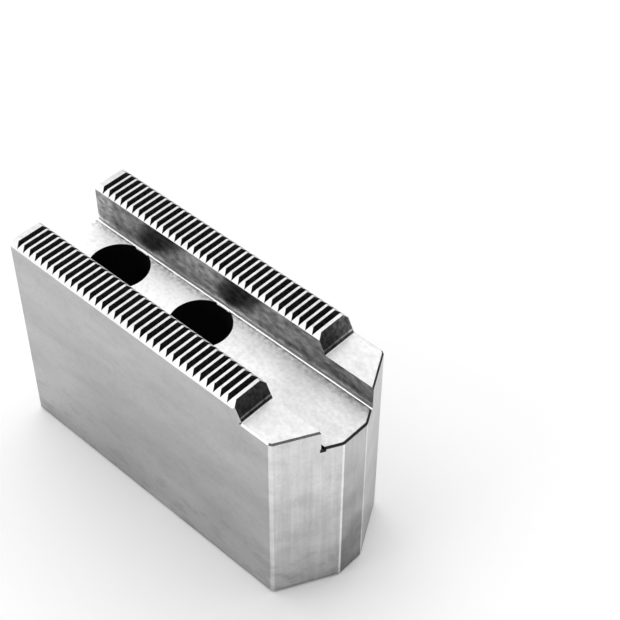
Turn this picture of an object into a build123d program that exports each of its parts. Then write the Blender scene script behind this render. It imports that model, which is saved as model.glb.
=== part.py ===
from build123d import *
import math
import os

os.makedirs("parts", exist_ok=True)

# A hard top jaw for a power chuck, ground all over from one block of hardened tool steel.
# It lies on its front face (Z = 0), with the serrated side that seats on the master jaw uppermost.
# X runs along the jaw from its back face to the nose, and Y across it. The frame's origin is
# under the middle of the block. All sizes are in millimetres and angles in degrees.

# The block and its pointed nose
jaw_width = 26.4
jaw_height = 43.0
side_length = 60.6
nose_angle = 29.0
tip_width = 5.5

# The key slot that takes the master jaw's tongue, with a relief groove in its floor beside each wall
slot_width = 12.1
slot_floor_drop = 7.4
relief_width = 0.75
relief_depth = 0.7

# The serrated pads on each side of the slot, and the lower step between their ends and the nose
tooth_pitch = 1.5
tooth_angle = 60.0
crest_flat = 0.45
first_groove = 1.95
least_end_land = 0.4
pad_rise = 3.4
pad_end_angle = 28.0
pad_foot_radius = 0.25
pad_outer_chamfer = 1.1
pad_slot_chamfer = 0.9
step_length = 6.2

# The clearance holes for the two M10 socket head screws, counterbored from the front face
screw_hole_diameter = 11.0
screw_spacing = 20.0
first_screw = 12.0
counterbore_diameter = 17.5
head_seat_thickness = 14.0

# Broken edges
side_edge_chamfer = 0.4
tip_edge_chamfer = 0.2
floor_edge_chamfer = 0.35
step_edge_chamfer = 0.3
back_edge_chamfer = 0.35
front_edge_chamfer = 0.5
level_tolerance = 0.01

# Sizes that follow from those above
half_width = jaw_width / 2
half_slot = slot_width / 2
half_tip = tip_width / 2
jaw_length = side_length + (half_width - half_tip) * math.tan(math.radians(nose_angle))
step_height = jaw_height - pad_rise
slot_floor = jaw_height - slot_floor_drop
groove_width = tooth_pitch - crest_flat
groove_depth = groove_width / 2 / math.tan(math.radians(tooth_angle / 2))
pad_foot = side_length - step_length
pad_length = pad_foot - pad_rise * math.tan(math.radians(pad_end_angle))
last_groove_limit = pad_length - least_end_land - groove_width / 2
tooth_count = 1 + int((last_groove_limit - first_groove) / tooth_pitch)
screw_places = [first_screw, first_screw + screw_spacing]
counterbore_depth = slot_floor - head_seat_thickness


def plan_outline():
    """The block seen from above: a rectangle with a blunt three-sided nose, its corners broken."""
    corners = [
        (0, -half_width),
        (side_length, -half_width),
        (jaw_length, -half_tip),
        (jaw_length, half_tip),
        (side_length, half_width),
        (0, half_width),
    ]
    outline = make_face(Polyline(*corners, close=True))
    by_length = outline.vertices().sort_by(Axis.X)
    outline = chamfer(by_length[-2:], tip_edge_chamfer)
    side_corners = [v for v in outline.vertices() if abs(v.Y) > half_width - level_tolerance]
    return chamfer(side_corners, side_edge_chamfer)


def cross_section():
    """The block cut across its length: two chamfered pads with the relieved key slot between them."""
    corners = [
        (-half_width, 0),
        (half_width, 0),
        (half_width, jaw_height - pad_outer_chamfer),
        (half_width - pad_outer_chamfer, jaw_height),
        (half_slot + pad_slot_chamfer, jaw_height),
        (half_slot, jaw_height - pad_slot_chamfer),
        (half_slot, slot_floor),
        (-half_slot, slot_floor),
        (-half_slot, jaw_height - pad_slot_chamfer),
        (-half_slot - pad_slot_chamfer, jaw_height),
        (-half_width + pad_outer_chamfer, jaw_height),
        (-half_width, jaw_height - pad_outer_chamfer),
    ]
    section = make_face(Polyline(*corners, close=True))
    # Each relief has a round bottom, and its outer side carries on down from the slot's wall.
    for side in (-1, 1):
        relief = SlotOverall(2 * relief_depth, relief_width, rotation=90)
        section -= Pos(side * (half_slot - relief_width / 2), slot_floor) * relief
    return section


def side_profile():
    """The block seen from its side: the teeth, the sloped end of the pads, then the lower step."""
    top = [(0, jaw_height - back_edge_chamfer), (back_edge_chamfer, jaw_height)]
    for index in range(tooth_count):
        centre = first_groove + index * tooth_pitch
        top.append((centre - groove_width / 2, jaw_height))
        top.append((centre, jaw_height - groove_depth))
        top.append((centre + groove_width / 2, jaw_height))
    top.append((pad_length, jaw_height))
    foot = (pad_foot, step_height)
    corners = [(0, 0)] + top + [foot, (jaw_length, step_height), (jaw_length, 0)]
    profile = make_face(Polyline(*corners, close=True))
    foot_corner = profile.vertices().sort_by_distance((pad_foot, step_height, 0))[0]
    return fillet(foot_corner, pad_foot_radius)


def jaw_block():
    """The three outlines, each drawn right through the block, meet in the jaw's shape."""
    from_above = extrude(plan_outline(), jaw_height)
    along_slot = extrude(Plane.YZ * cross_section(), jaw_length)
    from_side = extrude(Plane.XZ * side_profile(), half_width, both=True)
    return from_above & along_slot & from_side


def break_edges(block):
    """The sharp edges of the slot floor, the step, the pads' ends and the front face are broken."""
    level_edges = block.edges().filter_by(Plane.XY)
    lowest = slot_floor - level_tolerance
    floor_edges = level_edges.filter_by_position(Axis.Z, lowest, slot_floor + level_tolerance)
    block = block.chamfer(floor_edge_chamfer, None, floor_edges.filter_by(Axis.X, reverse=True))

    # The step's edges are broken round its outside, and on up the outer sides of the pads' ends.
    step_edges = []
    for edge in block.edges():
        middle = edge.center()
        size = edge.bounding_box().size
        on_step = middle.X > pad_length and middle.Z > slot_floor + level_tolerance
        outside_slot = abs(middle.Y) > half_slot + level_tolerance
        runs_across = size.X < level_tolerance
        lies_flat = size.Z < level_tolerance
        up_pad_end = size.Y < level_tolerance
        if on_step and outside_slot and not runs_across and (lies_flat or up_pad_end):
            step_edges.append(edge)
    block = block.chamfer(step_edge_chamfer, None, step_edges)

    front_edges = block.edges().filter_by_position(Axis.Z, -level_tolerance, level_tolerance)
    return block.chamfer(front_edge_chamfer, None, front_edges)


def screw_hole(place):
    """One screw's clearance hole, with the counterbore for its head at the front face."""
    from_front = (Align.CENTER, Align.CENTER, Align.MIN)
    bore = Cylinder(screw_hole_diameter / 2, jaw_height, align=from_front)
    counterbore = Cylinder(counterbore_diameter / 2, counterbore_depth, align=from_front)
    return Pos(place, 0, 0) * (bore + counterbore)


jaw = break_edges(jaw_block())
for place in screw_places:
    jaw -= screw_hole(place)
jaw = Pos(-jaw_length / 2, 0, 0) * jaw
export_step(jaw, "parts/chuck_jaw.step")
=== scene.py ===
import math

import bmesh
import bpy
from mathutils import Matrix, Vector


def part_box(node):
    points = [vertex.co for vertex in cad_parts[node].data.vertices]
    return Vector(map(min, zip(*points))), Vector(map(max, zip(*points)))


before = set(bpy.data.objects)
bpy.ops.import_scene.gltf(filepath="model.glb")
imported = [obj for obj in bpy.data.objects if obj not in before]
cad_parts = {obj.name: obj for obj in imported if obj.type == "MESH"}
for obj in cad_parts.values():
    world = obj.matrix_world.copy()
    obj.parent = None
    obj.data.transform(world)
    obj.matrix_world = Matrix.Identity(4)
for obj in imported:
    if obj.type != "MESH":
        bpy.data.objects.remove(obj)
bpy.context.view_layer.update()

# The camera
# It stands in front of the nose and to its right, looking down on the serrated side, with a long
# lens. Its place follows from the point it looks at, its distance and its two angles.
look_at = Vector((-0.000192, 0.025919, 0.0200))
camera_distance = 0.26488
camera_bearing = math.radians(-47.84)
camera_height = math.radians(45.82)
camera_roll = math.radians(0.64)

towards_camera = Vector((
    math.cos(camera_bearing) * math.cos(camera_height),
    math.sin(camera_bearing) * math.cos(camera_height),
    math.sin(camera_height),
))
level_right = Vector((0, 0, 1)).cross(towards_camera).normalized()
level_up = towards_camera.cross(level_right)
right = level_right * math.cos(camera_roll) + level_up * math.sin(camera_roll)
up = level_up * math.cos(camera_roll) - level_right * math.sin(camera_roll)

lens = bpy.data.cameras.new("camera")
lens.lens = 84.43
lens.sensor_width = 36.0
lens.clip_start = 0.01
lens.clip_end = 20.0
camera = bpy.data.objects.new("camera", lens)
bpy.context.scene.collection.objects.link(camera)
turn = Matrix((right, up, towards_camera)).transposed().to_4x4()
camera.matrix_world = Matrix.Translation(look_at + towards_camera * camera_distance) @ turn
bpy.context.scene.camera = camera

# The jaw
# One block of tool steel, milled, drilled and hardened, which leaves a dark skin in the teeth and the
# holes. Its flats are then ground bright along the jaw, its nose upright, and its edges are stoned.
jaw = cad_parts["chuck_jaw"]
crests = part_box("chuck_jaw")[1].z
step_height = crests - 0.0034
slot_floor = crests - 0.0074
slot_side = 0.0062
relief_side = 0.0053
relief_bottom = slot_floor - 0.00084
pads_end = 0.0191
holes_middle = -0.0111963
half_spacing = 0.0100
bore_radius = 0.00555
counterbore_radius = 0.0089
counterbore_end = 0.0217

# Where two finishes meet, one passes into the other within a tenth or a hundredth of a millimetre.
tenth = 0.0001
hundredth = 0.00001

# How far a face looks up, from none on an upright wall to one on a flat, tells the flanks of the teeth
# and the pads' ends from the edges stoned at 45 degrees, and those from the flats.
upright_limit = 0.15
flank_slope = 0.20
edge_slope = 0.60
edge_limit = 0.85
flat_slope = 0.90
slope_margin = 0.03
turn_margin = 0.05

steel = bpy.data.materials.new("ground_steel")
steel.use_nodes = True
nodes = steel.node_tree.nodes
links = steel.node_tree.links
nodes.clear()


# These helpers add nodes to the material in hand, here and in the sections below.
def join(value, socket):
    """Gives an input its value, which is a number or the output of another node."""
    if isinstance(value, (int, float)):
        socket.default_value = value
    else:
        links.new(value, socket)


def calculate(operation, *values):
    """A sum on one to three values."""
    made = nodes.new("ShaderNodeMath")
    made.operation = operation
    for index, value in enumerate(values):
        join(value, made.inputs[index])
    return made.outputs[0]


def product(*values):
    """All the values multiplied together."""
    total = values[0]
    for value in values[1:]:
        total = calculate("MULTIPLY", total, value)
    return total


def outside(value):
    """One where a finish isn't, and none where it is."""
    return calculate("SUBTRACT", 1.0, value)


def above(value, limit, margin):
    """One where the value is above the limit and none below it, with a soft margin either side."""
    made = nodes.new("ShaderNodeMapRange")
    made.interpolation_type = "SMOOTHSTEP"
    join(value, made.inputs["Value"])
    made.inputs["From Min"].default_value = limit - margin
    made.inputs["From Max"].default_value = limit + margin
    return made.outputs[0]


def between(value, low, high, margin):
    """One where the value lies between the two limits, and none outside them."""
    return calculate("SUBTRACT", above(value, low, margin), above(value, high, margin))


def mix(share, first, second):
    """The first value where the share is none, and the second where it is one."""
    made = nodes.new("ShaderNodeMix")
    made.data_type = "FLOAT"
    join(share, made.inputs["Factor"])
    join(first, made.inputs["A"])
    join(second, made.inputs["B"])
    return made.outputs[0]


def vary(pattern, least, most):
    """A factor that follows a pattern of none to one, from the least to the most."""
    return calculate("MULTIPLY_ADD", pattern, most - least, least)


place = nodes.new("ShaderNodeTexCoord")
position = nodes.new("ShaderNodeSeparateXYZ")
links.new(place.outputs["Object"], position.inputs[0])
along, across, height = position.outputs
surface = nodes.new("ShaderNodeNewGeometry")
facing = nodes.new("ShaderNodeSeparateXYZ")
links.new(surface.outputs["True Normal"], facing.inputs[0])
faces_nose, faces_side, faces_up = facing.outputs
endways = calculate("ABSOLUTE", faces_nose)
sideways = calculate("ABSOLUTE", faces_side)
upright = outside(above(calculate("ABSOLUTE", faces_up), upright_limit, turn_margin))
on_flat = above(faces_up, flat_slope, slope_margin)
off_middle = calculate("ABSOLUTE", across)
on_far_half = above(across, 0.0, 0.001)

# The screw holes, drilled and counterbored
from_pair = calculate("ABSOLUTE", calculate("SUBTRACT", along, holes_middle))
from_hole = calculate("SUBTRACT", from_pair, half_spacing)
from_axis = calculate("SQRT", calculate("ADD", product(from_hole, from_hole), product(across, across)))
below_floor = between(height, hundredth, slot_floor - hundredth, hundredth)
in_bores = product(calculate("LESS_THAN", from_axis, bore_radius), below_floor)
below_head = between(height, hundredth, counterbore_end, hundredth)
in_counterbores = product(calculate("LESS_THAN", from_axis, counterbore_radius), below_head)
in_holes = calculate("MAXIMUM", in_bores, in_counterbores)

# The slot, with the relief grooves in its floor. The one by the far wall is painted bright, a painted
# highlight, beside a lip painted dark as shade and a strip of floor that is speckled and painted darker,
# a painted shade from the far wall.
strip_side = 0.0043
lip_side = 0.0050
in_slot = outside(above(off_middle, slot_side, tenth))
at_floor = between(height, slot_floor - 3 * hundredth, slot_floor + tenth, hundredth)
on_slot_floor = product(in_slot, on_flat, at_floor)
speckle_and_shade_by_far_wall = product(on_slot_floor, above(across, strip_side, 0.0010))
on_painted_dark_lip = product(on_slot_floor, above(across, lip_side, 0.00015))
beside_walls = product(in_slot, above(off_middle, relief_side - hundredth, hundredth))
in_depth = between(height, relief_bottom, slot_floor - 3 * hundredth, hundredth)
in_relief = product(beside_walls, in_depth, outside(in_holes))
in_far_relief = product(in_relief, on_far_half)
on_relief_highlight = product(in_far_relief, above(faces_up, 0.45, turn_margin))
on_slot_wall = product(in_slot, upright, above(sideways, 0.8, 0.1), above(height, slot_floor, tenth))

# The flanks of the teeth and the sloped ends of the pads, with a lighter band near the foot of the pads'
# ends
line_foot = step_height + 0.00050
line_top = step_height + 0.00075
on_flank = between(faces_up, flank_slope, edge_slope, slope_margin)
over_step = above(height, step_height + 0.00005, 0.00003)
on_teeth = product(over_step, on_flank, outside(above(sideways, 0.3, turn_margin)))
on_ends = product(on_teeth, above(along, pads_end, tenth))
on_far_end = product(on_ends, on_far_half)
on_lighter_foot_band = product(on_ends, between(height, line_foot, line_top, 0.00008))

# The nose and the back, ground upright, and the stoned edges and corners. How far a wall looks along
# the jaw tells the slanted faces of the nose from the sides, and its tip from them.
nose_turn = 0.45
tip_turn = 0.98
on_nose = product(upright, above(endways, nose_turn, slope_margin))
on_tip = product(upright, above(faces_nose, tip_turn, 0.01))
on_edges = product(between(faces_up, edge_slope, edge_limit, slope_margin), outside(in_relief))
# The edges at the slot floor's ends and along the far shoulder are painted dark below, a painted shade.
on_low_edges = product(on_edges, outside(above(height, slot_floor, 2 * hundredth)))
on_shaded_floor_edge = product(on_low_edges, above(faces_nose, 0.0, 0.1))
on_shaded_far_edge = product(on_edges, above(faces_side, 0.2, turn_margin), above(faces_nose, 0.3, turn_margin))
on_near_edge = product(on_edges, above(faces_side, 0.3, turn_margin), outside(on_far_half))
on_corners = product(upright, between(sideways, 0.60, 0.93, slope_margin), outside(in_holes))
on_tip_corners = product(on_nose, between(sideways, 0.20, 0.35, slope_margin))


def grain(size_x, size_y, size_z, detail):
    """Noise from none to one, whose grains have the given sizes in metres along X, Y and Z."""
    squeezed = nodes.new("ShaderNodeMapping")
    squeezed.inputs["Scale"].default_value = (1 / size_x, 1 / size_y, 1 / size_z)
    links.new(place.outputs["Object"], squeezed.inputs["Vector"])
    noise = nodes.new("ShaderNodeTexNoise")
    noise.inputs["Scale"].default_value = 1.0
    noise.inputs["Detail"].default_value = detail
    links.new(squeezed.outputs[0], noise.inputs["Vector"])
    # The noise keeps to the middle of its range, which is spread from none to one.
    spread = nodes.new("ShaderNodeMapRange")
    spread.inputs["From Min"].default_value = 0.30
    spread.inputs["From Max"].default_value = 0.70
    links.new(noise.outputs["Fac"], spread.inputs["Value"])
    return spread.outputs[0]


# The grinding marks, and the stains, smears, smudges and flecks on the steel
flat_marks = grain(0.0060, 0.00030, 0.00030, 3.0)
nose_marks = grain(0.00045, 0.00045, 0.0100, 3.0)
nose_bands = grain(0.0016, 0.0016, 0.0500, 2.0)
marks = mix(on_nose, flat_marks, mix(0.5, nose_marks, nose_bands))
stains = grain(0.0180, 0.0080, 0.0060, 4.0)
smears = grain(0.0014, 0.0014, 0.0009, 5.0)
smudges = above(grain(0.0035, 0.0025, 0.0020, 4.0), 0.68, 0.16)
flecks = grain(0.00080, 0.00070, 0.00070, 2.0)

# Each finish has a tone, a roughness and the share of its tone that is left at the jaw's foot, a painted
# shade that darkens the faces towards the bottom, most of all on the tip. The long sides have the first
# three values.
tone = 0.50
roughness = 0.24
painted_foot_shade = 0.88
for where, finish_tone, finish_roughness, finish_foot_shade in (
    (on_nose, 0.65, 0.24, 0.56),
    (on_tip, 0.54, 0.24, 0.27),
    (on_flat, 0.57, 0.36, 1.0),
    (on_slot_floor, 0.98, 0.55, 1.0),
    (on_slot_wall, 0.27, 0.38, 1.0),
    (on_edges, 0.66, 0.28, 1.0),
    # These two edges are painted dark, a painted shade.
    (on_shaded_floor_edge, 0.10, 0.40, 1.0),
    (on_shaded_far_edge, 0.09, 0.40, 1.0),
    (on_near_edge, 0.75, 0.55, 1.0),
    (on_corners, 0.74, 0.26, 0.75),
    (on_tip_corners, 0.95, 0.26, 0.75),
    (on_teeth, 0.055, 0.50, 1.0),
    (on_far_end, 0.08, 0.50, 1.0),
    (on_lighter_foot_band, 0.35, 0.50, 1.0),
    (in_relief, 0.05, 0.50, 1.0),
    # The far relief and its bottom are painted lighter, a painted highlight.
    (in_far_relief, 0.40, 0.50, 1.0),
    (on_relief_highlight, 1.0, 0.30, 1.0),
    (in_counterbores, 0.12, 0.50, 1.0),
    (in_bores, 0.04, 0.60, 1.0),
):
    tone = mix(where, tone, finish_tone)
    roughness = mix(where, roughness, finish_roughness)
    painted_foot_shade = mix(where, painted_foot_shade, finish_foot_shade)
# The painted shade towards the foot fades out about 16 mm up, along a wavy edge.
foot_shade_height = 0.016
foot_shade_fade = 0.020
foot_shade_waves = 0.008
over_foot_shade = above(calculate("MULTIPLY_ADD", stains, foot_shade_waves, height), foot_shade_height, foot_shade_fade)
tone = product(tone, mix(over_foot_shade, painted_foot_shade, 1.0))

# The tone is then multiplied, where a mark lies, by a factor that follows its pattern. The patterns
# without a name are gradients up, along or across the jaw, and several of them are painted shade or
# painted highlights, as noted below.
everywhere = 1.0
for where, pattern, least, most in (
    # The lowest millimetre of every face is darker, a painted shade along the jaw's foot.
    (everywhere, above(height, 0.0009, 0.0004), 0.75, 1.0),
    (everywhere, stains, 0.91, 1.09),
    (smudges, above(height, 0.009, 0.007), 0.84, 0.945),
    (outside(on_nose), marks, 0.98, 1.02),
    (on_nose, marks, 0.88, 1.12),
    (outside(on_flat), flecks, 0.96, 1.04),
    (on_flat, flecks, 0.90, 1.08),
    (on_slot_floor, above(along, 0.016, 0.008), 1.0, 0.76),
    # The strip by the far wall is speckled and painted darker, a painted shade of the wall, and the lip
    # beside it is painted darker still.
    (speckle_and_shade_by_far_wall, above(along, 0.018, 0.006), 1.0, 0.80),
    (speckle_and_shade_by_far_wall, flecks, 0.55, 1.10),
    (on_painted_dark_lip, smears, 0.25, 0.95),
    (on_slot_wall, smears, 0.45, 1.55),
    # Along their length the slot's walls are painted lighter and darker, painted reflections, and at
    # their foot they are painted lighter, a painted highlight.
    (on_slot_wall, above(along, -0.0295, 0.0020), 1.80, 1.0),
    (on_slot_wall, above(along, -0.022, 0.006), 0.73, 1.22),
    (on_slot_wall, above(along, 0.012, 0.006), 1.0, 0.754),
    (on_slot_wall, above(height, slot_floor + 0.0007, 0.0005), 2.0, 1.0),
    (on_teeth, flecks, 0.50, 1.50),
    # The far pad's end is painted lighter towards the outside, a painted highlight.
    (on_far_end, above(across, 0.0095, 0.0020), 0.80, 1.80),
):
    tone = product(tone, mix(where, 1.0, vary(pattern, least, most)))
roughness = product(roughness, vary(marks, 0.90, 1.10))
colour = nodes.new("ShaderNodeCombineColor")
for channel in range(3):
    links.new(tone, colour.inputs[channel])

scratches = nodes.new("ShaderNodeBump")
scratches.inputs["Strength"].default_value = 0.25
scratches.inputs["Distance"].default_value = 0.00002
links.new(marks, scratches.inputs["Height"])

# The slot's floor and the near pad's edge above it are matt, because they were ground coarsely.
matt_share = 0.6
matt = calculate("MAXIMUM", on_slot_floor, on_near_edge)
ground = nodes.new("ShaderNodeBsdfPrincipled")
ground.inputs["Specular Tint"].default_value = (0.75, 0.75, 0.75, 1)
links.new(outside(product(matt, matt_share)), ground.inputs["Metallic"])
links.new(colour.outputs[0], ground.inputs["Base Color"])
links.new(roughness, ground.inputs["Roughness"])
links.new(scratches.outputs[0], ground.inputs["Normal"])
output = nodes.new("ShaderNodeOutputMaterial")
links.new(ground.outputs[0], output.inputs["Surface"])
jaw.material_slots[0].material = steel

# The floor
# A large white table, which the jaw lies on. To the camera and in the steel it is white where
# nothing shades it, and it keeps the jaw's shadow.
floor_drop = 0.00005
floor_half = 3.0
floor_white = 0.90
floor_glow = 0.14
sheet = bmesh.new()
bmesh.ops.create_grid(sheet, x_segments=1, y_segments=1, size=floor_half)
bmesh.ops.translate(sheet, vec=(0, 0, -floor_drop), verts=sheet.verts)
floor_mesh = bpy.data.meshes.new("floor")
sheet.to_mesh(floor_mesh)
sheet.free()
floor = bpy.data.objects.new("floor", floor_mesh)
bpy.context.scene.collection.objects.link(floor)

paint = bpy.data.materials.new("white_floor")
paint.use_nodes = True
nodes = paint.node_tree.nodes
links = paint.node_tree.links
nodes.clear()
white = nodes.new("ShaderNodeBsdfDiffuse")
white.inputs["Color"].default_value = (floor_white, floor_white, floor_white, 1)
glow = nodes.new("ShaderNodeEmission")
glow.inputs["Color"].default_value = (1, 1, 1, 1)
ray = nodes.new("ShaderNodeLightPath")
seen = calculate("MAXIMUM", ray.outputs["Is Camera Ray"], ray.outputs["Is Glossy Ray"])
seen = calculate("MAXIMUM", seen, ray.outputs["Is Transmission Ray"])
links.new(calculate("MULTIPLY", seen, floor_glow), glow.inputs["Strength"])
both = nodes.new("ShaderNodeAddShader")
links.new(white.outputs[0], both.inputs[0])
links.new(glow.outputs[0], both.inputs[1])
output = nodes.new("ShaderNodeOutputMaterial")
links.new(both.outputs[0], output.inputs["Surface"])
floor_mesh.materials.append(paint)

# The light
# A plain studio with a large soft box overhead, which the flats mirror, and a small one low on the
# left for the stoned edges. The rest of the room is dim, and to the camera it is white.
main_box = Vector((-0.30, 0.22, 0.93)).normalized()
small_box = Vector((-0.466, -0.724, 0.508)).normalized()
box_level = 1.70
dim_level = 0.15

studio = bpy.data.worlds.new("studio")
bpy.context.scene.world = studio
studio.use_nodes = True
nodes = studio.node_tree.nodes
links = studio.node_tree.links
nodes.clear()
direction = nodes.new("ShaderNodeTexCoord")


def soft_box(middle, limit, margin):
    """One in the middle of a round soft box, fading to none where the cosine falls below its limit."""
    cosine = nodes.new("ShaderNodeVectorMath")
    cosine.operation = "DOT_PRODUCT"
    cosine.inputs[1].default_value = middle
    links.new(direction.outputs["Generated"], cosine.inputs[0])
    return above(cosine.outputs["Value"], limit, margin)


boxes = calculate("MAXIMUM", soft_box(main_box, 0.68, 0.10), soft_box(small_box, 0.92, 0.05))
level = mix(boxes, dim_level, box_level)
ray = nodes.new("ShaderNodeLightPath")
sky = nodes.new("ShaderNodeBackground")
sky.inputs["Color"].default_value = (1, 1, 1, 1)
links.new(mix(ray.outputs["Is Camera Ray"], level, 1.0), sky.inputs["Strength"])
output = nodes.new("ShaderNodeOutputWorld")
links.new(sky.outputs[0], output.inputs["Surface"])
bpy.context.scene.view_settings.view_transform = "Standard"
